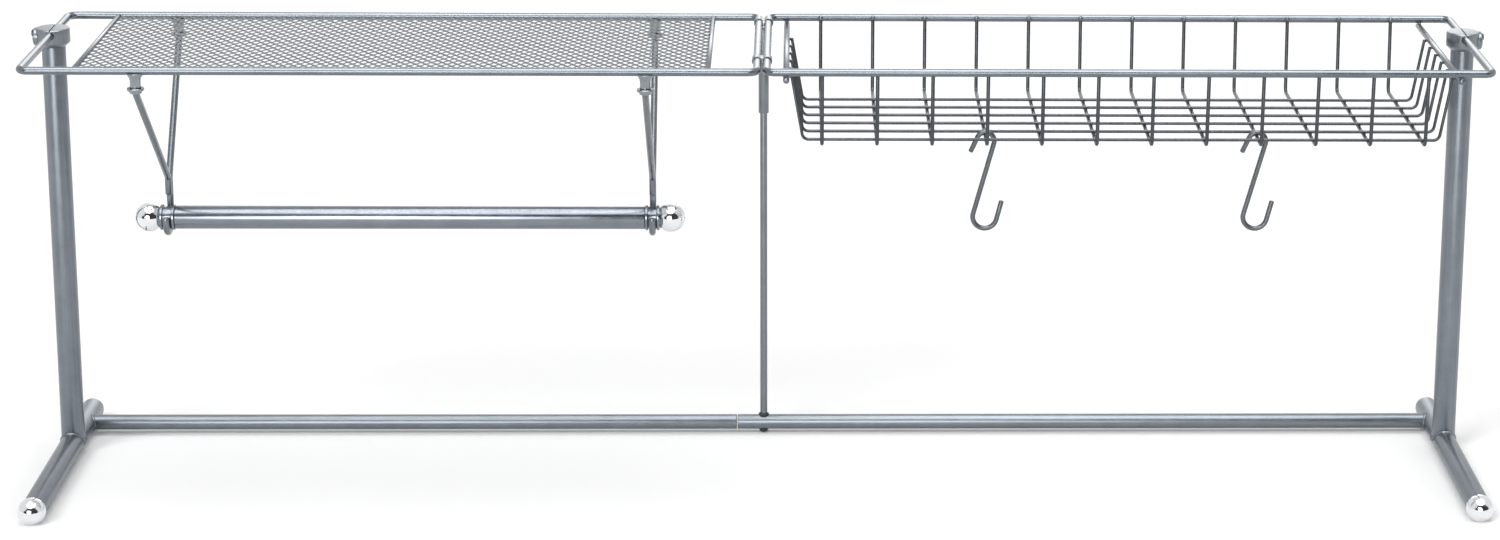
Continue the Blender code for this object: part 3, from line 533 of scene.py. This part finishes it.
# Top caps. Cast metal caps pushed onto the uprights, each with a lobe on its outer side. The frame's end wire
# drops into a slot whose lips are pressed over it, and a dark screw through the lobe clamps it.
def carved(mesh, tool, operation):
    """This mesh with the tool cut out or joined on, by an exact Boolean."""
    blank, cutter = (bpy.data.objects.new("blank", part) for part in (mesh, tool))
    for obj in (blank, cutter):
        bpy.context.scene.collection.objects.link(obj)
    modifier = blank.modifiers.new("carve", "BOOLEAN")
    modifier.operation = operation
    modifier.solver = "EXACT"
    modifier.object = cutter
    graph = bpy.context.evaluated_depsgraph_get()
    result = bpy.data.meshes.new_from_object(blank.evaluated_get(graph))
    for obj in (blank, cutter):
        bpy.data.objects.remove(obj, do_unlink=True)
    result.shade_smooth()
    result.set_sharp_from_angle(angle=math.radians(40))
    return result


# The same paint on a casting, with broader marks in it.
cap_paint = metal_coat("silver_paint_on_casting", "#70767b", "#888e93", 2.6, 0.34)
# Black oxide is nearly matt, so the screws read as dark spots.
dark_steel = metal_coat("black_oxide_on_screw", "#1f2123", "#36393c", 0.8, 0.5)
CAP_BOTTOM = 343.5
CAP_TOP = 358.5
CAP_RADIUS = 13.4
CAP_CHAMFER = 3.5
CAP_EDGE = 0.8
LOBE_REACH = 15.2
LOBE_RADIUS = (CAP_TOP - CAP_BOTTOM) / 2 - 0.1
LOBE_EDGE = 1
WIRE_SEAT = 3.4
SLOT_WIDTH = 1.2
SLOT_REACH = 30
SLOT_DEPTH = 9
WELL_RADIUS = 2.3
WELL_DEPTH = 4
for side, sign in SIDES:
    x = sign * LEG_X
    outward = sign * X_AXIS
    profile = [(CAP_BOTTOM, 0), (CAP_BOTTOM, CAP_RADIUS - CAP_CHAMFER)]
    profile += [(CAP_BOTTOM + CAP_CHAMFER, CAP_RADIUS), (CAP_TOP - CAP_EDGE, CAP_RADIUS)]
    profile += [(CAP_TOP, CAP_RADIUS - CAP_EDGE), (CAP_TOP, 0)]
    cap = turned(profile, mm(x, UPRIGHT_Y, 0), Z_AXIS, ease=0.6, sides=64)
    profile = [(0, 0), (0, LOBE_RADIUS), (LOBE_REACH - LOBE_EDGE, LOBE_RADIUS)]
    profile += [(LOBE_REACH, LOBE_RADIUS - LOBE_EDGE), (LOBE_REACH, 0)]
    lobe = turned(profile, mm(x, UPRIGHT_Y, (CAP_TOP + CAP_BOTTOM) / 2), outward, ease=0.5)
    cap = carved(cap, lobe, "UNION")
    groove = [mm(x, UPRIGHT_Y + reach, WIRE_HEIGHT) for reach in (-SLOT_REACH, SLOT_REACH)]
    cap = carved(cap, rod(groove, WIRE_SEAT / 1000), "DIFFERENCE")
    corners = []
    for z in (WIRE_HEIGHT, WIRE_HEIGHT + SLOT_DEPTH):
        for across, ahead in ((-1, -1), (1, -1), (1, 1), (-1, 1)):
            corners.append(mm(x + across * SLOT_WIDTH / 2, UPRIGHT_Y + ahead * SLOT_REACH, z))
    faces = [(3, 2, 1, 0), (4, 5, 6, 7)] + [(i, (i + 1) % 4, (i + 1) % 4 + 4, i + 4) for i in range(4)]
    opening = bpy.data.meshes.new("opening")
    opening.from_pydata(corners, [], faces)
    cap = carved(cap, opening, "DIFFERENCE")
    inner, outer = LOBE_REACH - WELL_DEPTH, LOBE_REACH + 2
    profile = [(inner, 0), (inner, WELL_RADIUS), (outer, WELL_RADIUS), (outer, 0)]
    well = turned(profile, mm(x, UPRIGHT_Y, WIRE_HEIGHT), outward, ease=0.01, sides=24)
    cap = carved(cap, well, "DIFFERENCE")
    piece(f"{side}_cap", cap, cap_paint, [f"top_cap_{side}"])
    profile = [(3.5, 0), (3.5, 2), (LOBE_REACH + 0.2, 2), (LOBE_REACH + 0.2, 3), (LOBE_REACH + 1.45, 2.6)]
    profile += [(LOBE_REACH + 1.45, 1.3), (LOBE_REACH + 0.6, 1.2), (LOBE_REACH + 0.6, 0)]
    mesh = turned(profile, mm(x, UPRIGHT_Y, WIRE_HEIGHT), outward, ease=0.15, sides=32)
    piece(f"{side}_clamp_screw", mesh, dark_steel, [f"cap_screw_{side}"])


# Frame clips. Strips of sheet steel rolled round the two middle wires to hold the frames side by side, one
# near the front and one over the rod's sleeve. Pressing them on leaves a waist between the wires.
CLIP_INNER = 3.45
CLIP_OUTER = 4.15
CLIP_EDGE = 0.25
CLIP_WAIST = 1.6
CLIP_LOOP = 50


def waisted_loop(radius, steps=16):
    """Points of a waisted loop round both middle wires, in mm."""
    points = []
    for sign in (1, -1):
        for step in range(steps + 1):
            angle = math.pi * (step / steps - 0.5)
            points.append((sign * (MIDDLE_X + radius * math.cos(angle)), sign * radius * math.sin(angle)))
        for step in range(1, steps):
            x = MIDDLE_X * (1 - 2 * step / steps)
            dip = CLIP_WAIST * (1 + math.cos(math.pi * x / MIDDLE_X)) / 2
            points.append((sign * x, sign * (radius - dip)))
    return points


for name in ("front", "rear"):
    low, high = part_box(f"frame_clip_{name}")
    start, end = low.y * 1000, high.y * 1000
    strip = [(CLIP_INNER, start), (CLIP_OUTER - CLIP_EDGE, start), (CLIP_OUTER, start + CLIP_EDGE)]
    strip += [(CLIP_OUTER, end - CLIP_EDGE), (CLIP_OUTER - CLIP_EDGE, end), (CLIP_INNER, end)]
    rings = [[mm(x, y, WIRE_HEIGHT + z) for x, z in waisted_loop(radius)] for radius, y in strip]
    # About how far along the strip's section each of its edges lies, in metres, for the streaks.
    along = [0, 0.001, 0.0013, 0.011, 0.0113, 0.0123, 0.022]
    mesh = skinned(rings, CLIP_LOOP / 1000, along, closed=True)
    piece(f"{name}_clip", mesh, cap_paint, [f"frame_clip_{name}"])


# Shelf. Expanded mesh, slit and stretched from sheet steel, welded between two 4 mm border wires and the
# frame's front and back wires.
def middle(node):
    """The middle of a node's box, in mm."""
    return [(low + high) * 500 for low, high in zip(*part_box(node))]


def cropped(line, radius):
    """A wire's line and radii, in metres, with both cropped ends slightly rounded."""
    shares = ((0.0, 0.55), (0.12, 0.85), (0.35, 1.0))
    start = (line[1] - line[0]).normalized()
    end = (line[-2] - line[-1]).normalized()
    head = [(line[0] + start * radius * out, radius * size) for out, size in shares]
    tail = [(line[-1] + end * radius * out, radius * size) for out, size in reversed(shares)]
    points = head + [(point, radius) for point in line[1:-1]] + tail
    return [point for point, _ in points], [size for _, size in points]


BORDER_WIRE = 2
BORDER_INSET = 1
borders = []
for side, _ in SIDES:
    x = middle(f"shelf_border_{side}")[0]
    borders.append(x)
    line = [mm(x, FRONT_Y + BORDER_INSET, WIRE_HEIGHT), mm(x, BACK_Y - BORDER_INSET, WIRE_HEIGHT)]
    mesh = rod(*cropped(line, BORDER_WIRE / 1000), sides=16)
    piece(f"{side}_shelf_border", mesh, frame_paint, [f"shelf_border_{side}"])

MESH_COLUMNS = 60
MESH_ROWS = 16
STRAND_WIDTH = 1.2
STRAND_THICKNESS = 0.8
STRAND_TWIST = math.radians(25)
STRAND_OVERLAP = 0.4
# The paint colour is drawn lighter here than on the tubes, a painted highlight for the light that the tilted
# strands catch all over the mesh.
highlighted_mesh_paint = metal_coat("silver_paint_with_painted_highlight_on_mesh", "#787e82", "#949a9f", 1.0, 0.34)
half_x = (borders[1] - borders[0]) / MESH_COLUMNS / 2
half_y = (BACK_Y - FRONT_Y) / MESH_ROWS / 2
points = []
faces = []
for column in range(2 * MESH_COLUMNS):
    for row in range(2 * MESH_ROWS + 1):
        if (column + row) % 2:
            continue
        for rise in (1, -1):
            if not 0 <= row + rise <= 2 * MESH_ROWS:
                continue
            start = mm(borders[0] + column * half_x, FRONT_Y + row * half_y, WIRE_HEIGHT)
            end = mm(borders[0] + (column + 1) * half_x, FRONT_Y + (row + rise) * half_y, WIRE_HEIGHT)
            run = (end - start).normalized()
            flat = run.cross(Z_AXIS) * (STRAND_WIDTH / 2000)
            deep = Z_AXIS * (STRAND_THICKNESS / 2000)
            turn = STRAND_TWIST * rise
            wide = math.cos(turn) * flat + math.sin(turn) * Z_AXIS * flat.length
            deep = math.cos(turn) * deep - math.sin(turn) * flat.normalized() * deep.length
            near = len(points)
            far = near + 4
            overlap = run * (STRAND_OVERLAP / 1000)
            for place in (start - overlap, end + overlap):
                points += [place + wide + deep, place - wide + deep, place - wide - deep, place + wide - deep]
            faces += [(near + i, far + i, far + (i + 1) % 4, near + (i + 1) % 4) for i in range(4)]
mesh = bpy.data.meshes.new("expanded_mesh")
mesh.from_pydata(points, [], faces)
mesh.uv_layers.new(name="metres")
face_outward(mesh)
piece("expanded_mesh", mesh, highlighted_mesh_paint, ["mesh_panel"])


# Basket. Twelve steel wires bent to a flat U hang between the frame's front and back wires, and six long
# wires lie across them with their ends welded beside a thicker bar under each end of the frame. All is
# spot-welded.
END_BAR = 2.5
END_BAR_OVERHANG = 3.1
END_BAR_WELD = 1.6
# The darkest of the grey paints, so that the thin wires stand out against the white.
wire_paint = metal_coat("grey_paint_on_basket_wire", "#3d4144", "#565b5f", 0.9, 0.34)
frame_welds = []
for side, _ in SIDES:
    x, _, z = middle(f"basket_end_bar_{side}")
    line = [mm(x, FRONT_Y - END_BAR_OVERHANG, z), mm(x, BACK_Y + END_BAR_OVERHANG, z)]
    mesh = rod(*cropped(line, END_BAR / 1000), sides=20)
    piece(f"{side}_basket_bar", mesh, frame_paint, [f"basket_end_bar_{side}"])
    for y in (FRONT_Y + 1, BACK_Y - 1):
        frame_welds.append((mm(x, y, WIRE_HEIGHT - WIRE_SEAT), END_BAR_WELD / 1000))

# From here to the welds, lengths are in metres, as they are in the boxes. Each nugget of weld has a place
# and a radius, and it sits where a wire's tip or a crossing touches.
BASKET_BEND = 0.005
CROSS_WIRE = 0.0015
CROSS_LEAN = 0.004
BACK_TIP_LIFT = 0.0015
FRONT_WELD = 0.0016
BACK_WELD = 0.0021
cross_x = []
for i in range(1, 13):
    low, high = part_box(f"basket_cross_wire_{i:02}")
    x, front, back = (low.x + high.x) / 2, low.y + CROSS_WIRE, high.y - CROSS_WIRE
    floor_z, top = low.z + CROSS_WIRE, high.z
    corners = [(front, top), (front + CROSS_LEAN, floor_z)]
    corners += [(back - CROSS_LEAN, floor_z), (back, top + BACK_TIP_LIFT)]
    line = eased([Vector((x, y, z)) for y, z in corners], BASKET_BEND, 8)
    mesh = rod(*cropped(line, CROSS_WIRE), sides=14)
    piece(f"cross_wire_{i:02}", mesh, wire_paint, [f"basket_cross_wire_{i:02}"])
    cross_x.append(x)
    frame_welds.append((Vector((x, front - 0.0012, (WIRE_HEIGHT - 0.5) / 1000)), FRONT_WELD))
    frame_welds.append((Vector((x, back - 0.0004, (WIRE_HEIGHT + 0.8) / 1000)), BACK_WELD))

LONG_WIRE = 0.00125
LONG_LEAN = 0.009
TIP_INSET = 0.0013
FLOOR_WELD = 0.0013
TIP_WELD = 0.0012
basket_welds = []
for i in range(1, 7):
    low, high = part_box(f"basket_long_wire_{i}")
    y, floor_z, top = (low.y + high.y) / 2, low.z + LONG_WIRE, high.z
    left, right = low.x + TIP_INSET, high.x - TIP_INSET
    corners = [(left, top), (left + LONG_LEAN, floor_z), (right - LONG_LEAN, floor_z), (right, top)]
    line = eased([Vector((x, y, z)) for x, z in corners], BASKET_BEND, 8)
    mesh = rod(*cropped(line, LONG_WIRE), sides=12)
    piece(f"long_wire_{i}", mesh, wire_paint, [f"basket_long_wire_{i}"])
    basket_welds += [(Vector((x, y, floor_z - 0.0014)), FLOOR_WELD) for x in cross_x]
    basket_welds += [(Vector((x, y, top - 0.0008)), TIP_WELD) for x in (left - 0.0014, right + 0.0014)]

# The frame's nuggets take its lighter paint: the frame's own colour, and partly a painted highlight for the
# light that the cross wires' tips catch there.
for name, places, paint, slot in (
        ("basket_welds", basket_welds, wire_paint, "dark_wire"),
        ("frame_welds", frame_welds, frame_paint, "silver_paint")):
    nuggets = bmesh.new()
    for place, radius in places:
        made = bmesh.ops.create_uvsphere(nuggets, u_segments=10, v_segments=6, radius=radius)
        for vertex in made["verts"]:
            vertex.co *= 1 + 0.25 * noise.noise(vertex.co * 900 + place * 50)
            vertex.co += place
    mesh = bpy.data.meshes.new("nuggets")
    nuggets.to_mesh(mesh)
    nuggets.free()
    mesh.uv_layers.new(name="metres")
    mesh.shade_smooth()
    piece(name, mesh, paint)


# Hangers. On each side a steel wire from the frame's back wire ends in an open J hook, and a strut from the
# front wire is welded along it. A zinc-plated saddle under each frame wire holds them by a flange nut.
HANGER_WIRE = 2.75
HANGER_TOP = WIRE_HEIGHT - 6.8
HANGER_BEND = 6
FIRST_CORNER = 336.4
LAST_CORNER = 237.5
HOOK_RADIUS = 12.05
HOOK_STEPS = 24
HOOK_TIP = 3
BAR_Y = 25.75
BAR_Z = 205.8
LEG_Y = BAR_Y + HOOK_RADIUS
STRUT_GAP = 5.7
SEAM_HALF = 1.5
SEAM_LOW = 225
SEAM_HIGH = 238
SEAM_BEND = 1
SEAM_SPACING = 0.5
SADDLE_REACH = 12
# The paint is between the tubes' and the frames': a soft sheen that follows the wires' bends.
hanger_paint = metal_coat("silver_paint_on_hanger", "#6b7176", "#82888d", 1.4, 0.3)
# Zinc plate is brighter and glossier than the paint, with sharper lights.
bright_zinc = metal_coat("zinc_plate_on_clamp", "#7c8185", "#989da1", 0.8, 0.16)


def hanger_line(x, clamp_y, foot_y, foot_z):
    """A hanger wire's line in metres from its clamp down to its foot, with its two bends eased."""
    corners = [(clamp_y, HANGER_TOP), (clamp_y, FIRST_CORNER), (foot_y, LAST_CORNER), (foot_y, foot_z)]
    return eased([mm(x, y, z) for y, z in corners], HANGER_BEND / 1000, 8)


hanger_x = []
for side, _ in SIDES:
    x = middle(f"hanger_leg_{side}")[0]
    hanger_x.append(x)
    line = hanger_line(x, BACK_Y, LEG_Y, BAR_Z)[:-1]
    for step in range(HOOK_STEPS + 1):
        angle = math.pi * step / HOOK_STEPS
        line.append(mm(x, BAR_Y + HOOK_RADIUS * math.cos(angle), BAR_Z - HOOK_RADIUS * math.sin(angle)))
    line.append(mm(x, BAR_Y - HOOK_RADIUS, BAR_Z + HOOK_TIP))
    mesh = rod(*cropped(line, HANGER_WIRE / 1000), sides=20)
    piece(f"{side}_hanger_wire", mesh, hanger_paint, [f"hanger_leg_{side}"])

    line = hanger_line(x, FRONT_Y, LEG_Y - STRUT_GAP, heights(f"hanger_strut_{side}")[0])
    mesh = rod(*cropped(line, HANGER_WIRE / 1000), sides=20)
    piece(f"{side}_hanger_strut", mesh, hanger_paint, [f"hanger_strut_{side}"])

    corners = ((-SEAM_HALF, SEAM_LOW), (-SEAM_HALF, SEAM_HIGH), (SEAM_HALF, SEAM_HIGH), (SEAM_HALF, SEAM_LOW))
    seam = [mm(x + out, LEG_Y - STRUT_GAP / 2, z) for out, z in corners]
    seam = eased(seam, SEAM_BEND / 1000, 4, closed=True)
    dense = []
    for i, point in enumerate(seam):
        ahead = seam[(i + 1) % len(seam)]
        count = max(1, int((ahead - point).length / (SEAM_SPACING / 1000)))
        dense += [point.lerp(ahead, step / count) for step in range(count)]
    piece(f"{side}_hanger_weld", bead(dense, 0.9, ripple=1.2), hanger_paint)

    for end, y in (("front", FRONT_Y), ("back", BACK_Y)):
        profile = [(-1.6, 0), (-1.6, 6.4), (-2.6, 6.3), (-4.0, 5.5), (-5.6, 4.6), (-7.5, 4.2), (-11.9, 4.2)]
        profile += [(-12.8, 4.8), (-13.0, 0)]
        saddle = turned(profile, mm(x, y, WIRE_HEIGHT), Z_AXIS, sides=40)
        groove = [mm(x + reach, y, WIRE_HEIGHT) for reach in (-SADDLE_REACH, SADDLE_REACH)]
        saddle = carved(saddle, rod(groove, WIRE_SEAT / 1000), "DIFFERENCE")
        piece(f"{side}_{end}_saddle", saddle, bright_zinc, [f"hanger_clamp_{end}_{side}"])
        profile = [(-13.2, 0), (-13.2, 6.2), (-13.6, 6.6), (-15.2, 6.6), (-16.0, 5.2), (-17.5, 4.6)]
        profile.append((-17.6, 0))
        nut = turned(profile, mm(x, y, WIRE_HEIGHT), Z_AXIS, ease=0.25, sides=36)
        piece(f"{side}_{end}_flange_nut", nut, bright_zinc)


# Towel bar. 19 mm steel tube with a turned collar plugged into each end. The collars' grooves sit in the
# hooks, so the bar turns in them, and a chrome ball is screwed to each collar.
BAR_RADIUS = 9.5
BAR_BORE = 8.4
COLLAR_RADIUS = 10.45
COLLAR_FACE = 5.75
STUB_RADIUS = 8.1
STUB_END = 17
GROOVE_RADIUS = 9.0
GROOVE_FLOOR = 3.5
GROOVE_LIP = 3.7
BAR_BALL_RADIUS = 12
BAR_BALL_NECK = 8.2
BAR_BALL_OUT = 14.8
# The bar's paint is a little bluer and much glossier, so the room shows in it as long bands.
bar_paint = metal_coat("blue_grey_paint_on_bar", "#757b83", "#898f96", 1.8, 0.21)
low, high = (corner.x * 1000 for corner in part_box("towel_bar"))
profile = [(low, BAR_BORE), (low, BAR_RADIUS), (high, BAR_RADIUS), (high, BAR_BORE)]
mesh = turned(profile, mm(0, BAR_Y, BAR_Z), X_AXIS, ease=0.35, ring=True)
piece("bar_tube", mesh, bar_paint, ["towel_bar"], "towel_roller")
for (side, sign), x in zip(SIDES, hanger_x):
    profile = [(-STUB_END, 0), (-STUB_END, STUB_RADIUS), (-COLLAR_FACE, STUB_RADIUS)]
    profile += [(-COLLAR_FACE, COLLAR_RADIUS), (-GROOVE_LIP, COLLAR_RADIUS), (-GROOVE_FLOOR, GROOVE_RADIUS)]
    profile += [(GROOVE_FLOOR, GROOVE_RADIUS), (GROOVE_LIP, COLLAR_RADIUS)]
    profile += [(COLLAR_FACE, COLLAR_RADIUS), (COLLAR_FACE, 0)]
    mesh = turned(profile, mm(x, BAR_Y, BAR_Z), sign * X_AXIS, ease=0.4)
    piece(f"{side}_collar", mesh, bar_paint, [f"bar_collar_{side}"], "towel_roller")
    profile = ball_profile(BAR_BALL_RADIUS, BAR_BALL_NECK)
    profile.append((profile[-1][0] + 0.35, BAR_BALL_NECK - 0.2))
    profile.append((profile[-1][0], 0))
    mesh = turned(profile, mm(x + sign * BAR_BALL_OUT, BAR_Y, BAR_Z), -sign * X_AXIS, ease=0.05)
    piece(f"{side}_bar_ball", mesh, chrome_plate, [f"bar_ball_{side}"], "towel_roller")


# S-hooks. 4 mm steel wire bent in opposite turns: the small turn hangs on a cross wire of the basket and the
# large one takes a handle or a loop. Their grey paint is a little lighter than on the basket's wires.
hook_paint = metal_coat("grey_paint_on_s_hook", "#565b5f", "#6c7175", 1.0, 0.36)
TOP_BEND = 7
LOW_BEND = 9.5
TOP_TAIL = 13
LOW_TAIL = 16
TOP_FLARE = math.radians(20)
LOW_FLARE = math.radians(10)
ACROSS = 5
DOWN = 61.5
TURN_STEPS = 32
HOOK_WIRE = 2
HINGE_ABOVE_BEND = 3.2
# The angle at which the straight middle leaves the small turn to meet the large one.
leave = math.atan2(ACROSS, DOWN) - math.asin((TOP_BEND + LOW_BEND) / math.hypot(ACROSS, DOWN))
bent_wire = []
for x, z, bend, first, last in (
        (0, 0, TOP_BEND, math.pi - TOP_FLARE, leave),
        (ACROSS, -DOWN, LOW_BEND, math.pi + leave, math.tau - LOW_FLARE)):
    for step in range(TURN_STEPS + 1):
        angle = first + (last - first) * step / TURN_STEPS
        bent_wire.append(Vector((x + bend * math.cos(angle), 0, z + bend * math.sin(angle))))
bent_wire.insert(0, bent_wire[0] - TOP_TAIL * Vector((math.sin(TOP_FLARE), 0, math.cos(TOP_FLARE))))
bent_wire.append(bent_wire[-1] + LOW_TAIL * Vector((math.sin(LOW_FLARE), 0, math.cos(LOW_FLARE))))
# The hook hangs with its weight straight below the wire that carries it.
balance = sum(((a + b) / 2 * (b - a).length for a, b in zip(bent_wire, bent_wire[1:])), Vector())
hang = Matrix.Rotation(math.pi / 2 + math.atan2(balance.z, balance.x), 3, "Y")
for side, _ in SIDES:
    hinge = next(joint for joint in frame["joints"] if joint["name"] == f"s_hook_{side}_swing")["pos_m"]
    line = [Vector(hinge) + (hang @ point - HINGE_ABOVE_BEND * Z_AXIS) / 1000 for point in bent_wire]
    mesh = rod(*cropped(line, HOOK_WIRE / 1000), sides=18)
    piece(f"{side}_s_hook", mesh, hook_paint, [f"s_hook_{side}"], f"s_hook_{side}_body")
